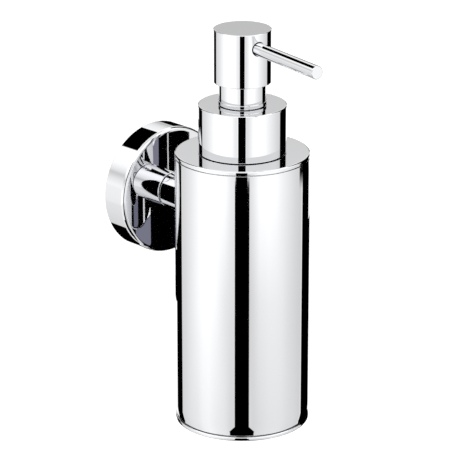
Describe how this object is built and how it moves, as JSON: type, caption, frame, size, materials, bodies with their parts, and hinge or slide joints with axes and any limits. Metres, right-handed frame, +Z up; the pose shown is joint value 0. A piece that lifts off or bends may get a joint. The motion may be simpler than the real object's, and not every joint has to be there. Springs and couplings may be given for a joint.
{
  "type": "wall mounted soap dispenser",
  "caption": "Chromed cylindrical soap container on a round wall rosette and short arm, with a screw-on push pump and a swivelling head with a straight spout.",
  "frame": {"origin": "centre of the wall plate's back face, on the wall plane and on the arm's axis", "axes": "+Y into the wall, so the object stands out towards -Y; +Z up along the container's axis; X across"},
  "size_m": [0.0554, 0.1067, 0.1674],
  "materials": {
    "chrome_plate": "mirror polished chrome plate on brass",
    "zinc_steel": "zinc plated steel, satin",
    "bright_steel": "drawn stainless steel",
    "white_plastic": "moulded polypropylene, light satin",
    "clear_plastic": "natural translucent polyethylene",
    "black_rubber": "moulded nitrile rubber, dull"
  },
  "bodies": {
    "container": {"wall_plate": "zinc_steel", "rosette": "chrome_plate", "rosette_grub_screw": "zinc_steel", "arm": "chrome_plate", "arm_bolt": "zinc_steel", "arm_lock_washer": "zinc_steel", "container_bolt": "bright_steel", "container_bolt_washer": "bright_steel", "container_tube": "chrome_plate", "container_lid": "chrome_plate", "base_cap": "chrome_plate", "base_o_ring": "black_rubber", "inner_bottle": "clear_plastic"},
    "seal": {"neck_gasket": "black_rubber"},
    "pump": {"pump_housing": "white_plastic", "stem_guide": "white_plastic", "guide_sleeve": "chrome_plate", "dip_tube": "clear_plastic", "return_spring": "bright_steel"},
    "screw_cap": {"collar": "chrome_plate", "pump_closure": "white_plastic"},
    "plunger": {"stem": "white_plastic", "piston": "white_plastic"},
    "head": {"head_shell": "chrome_plate", "head_core": "white_plastic", "spout_tube": "chrome_plate", "spout_liner": "clear_plastic"},
    "inlet_valve": {"inlet_ball": "bright_steel"}
  },
  "joints": [
    {"name": "pump_lift", "type": "slide", "parent": "container", "child": "seal", "axis": [0, 0, 1], "range_m": [0, 0.13]},
    {"name": "thread_rise", "type": "slide", "parent": "seal", "child": "pump", "axis": [0, 0, 1], "range_m": [0, 0.0046]},
    {"name": "collar_turn", "type": "hinge", "parent": "pump", "child": "screw_cap", "pos_m": [0, -0.055, 0.037], "axis": [0, 0, 1], "range_deg": [0, 540]},
    {"name": "head_press", "type": "slide", "parent": "pump", "child": "plunger", "axis": [0, 0, -1], "range_m": [0, 0.009], "stiffness_N_per_m": 600, "springref_m": -0.006, "deforming": ["return_spring"]},
    {"name": "head_swivel", "type": "hinge", "parent": "plunger", "child": "head", "pos_m": [0, -0.055, 0.067], "axis": [0, 0, 1], "continuous": true},
    {"name": "inlet_ball_lift", "type": "slide", "parent": "pump", "child": "inlet_valve", "axis": [0, 0, 1], "range_m": [0, 0.0015]}
  ],
  "couplings": [
    {"joint": "thread_rise", "follows": "collar_turn", "m_per_rad": 0.00047746}
  ]
}
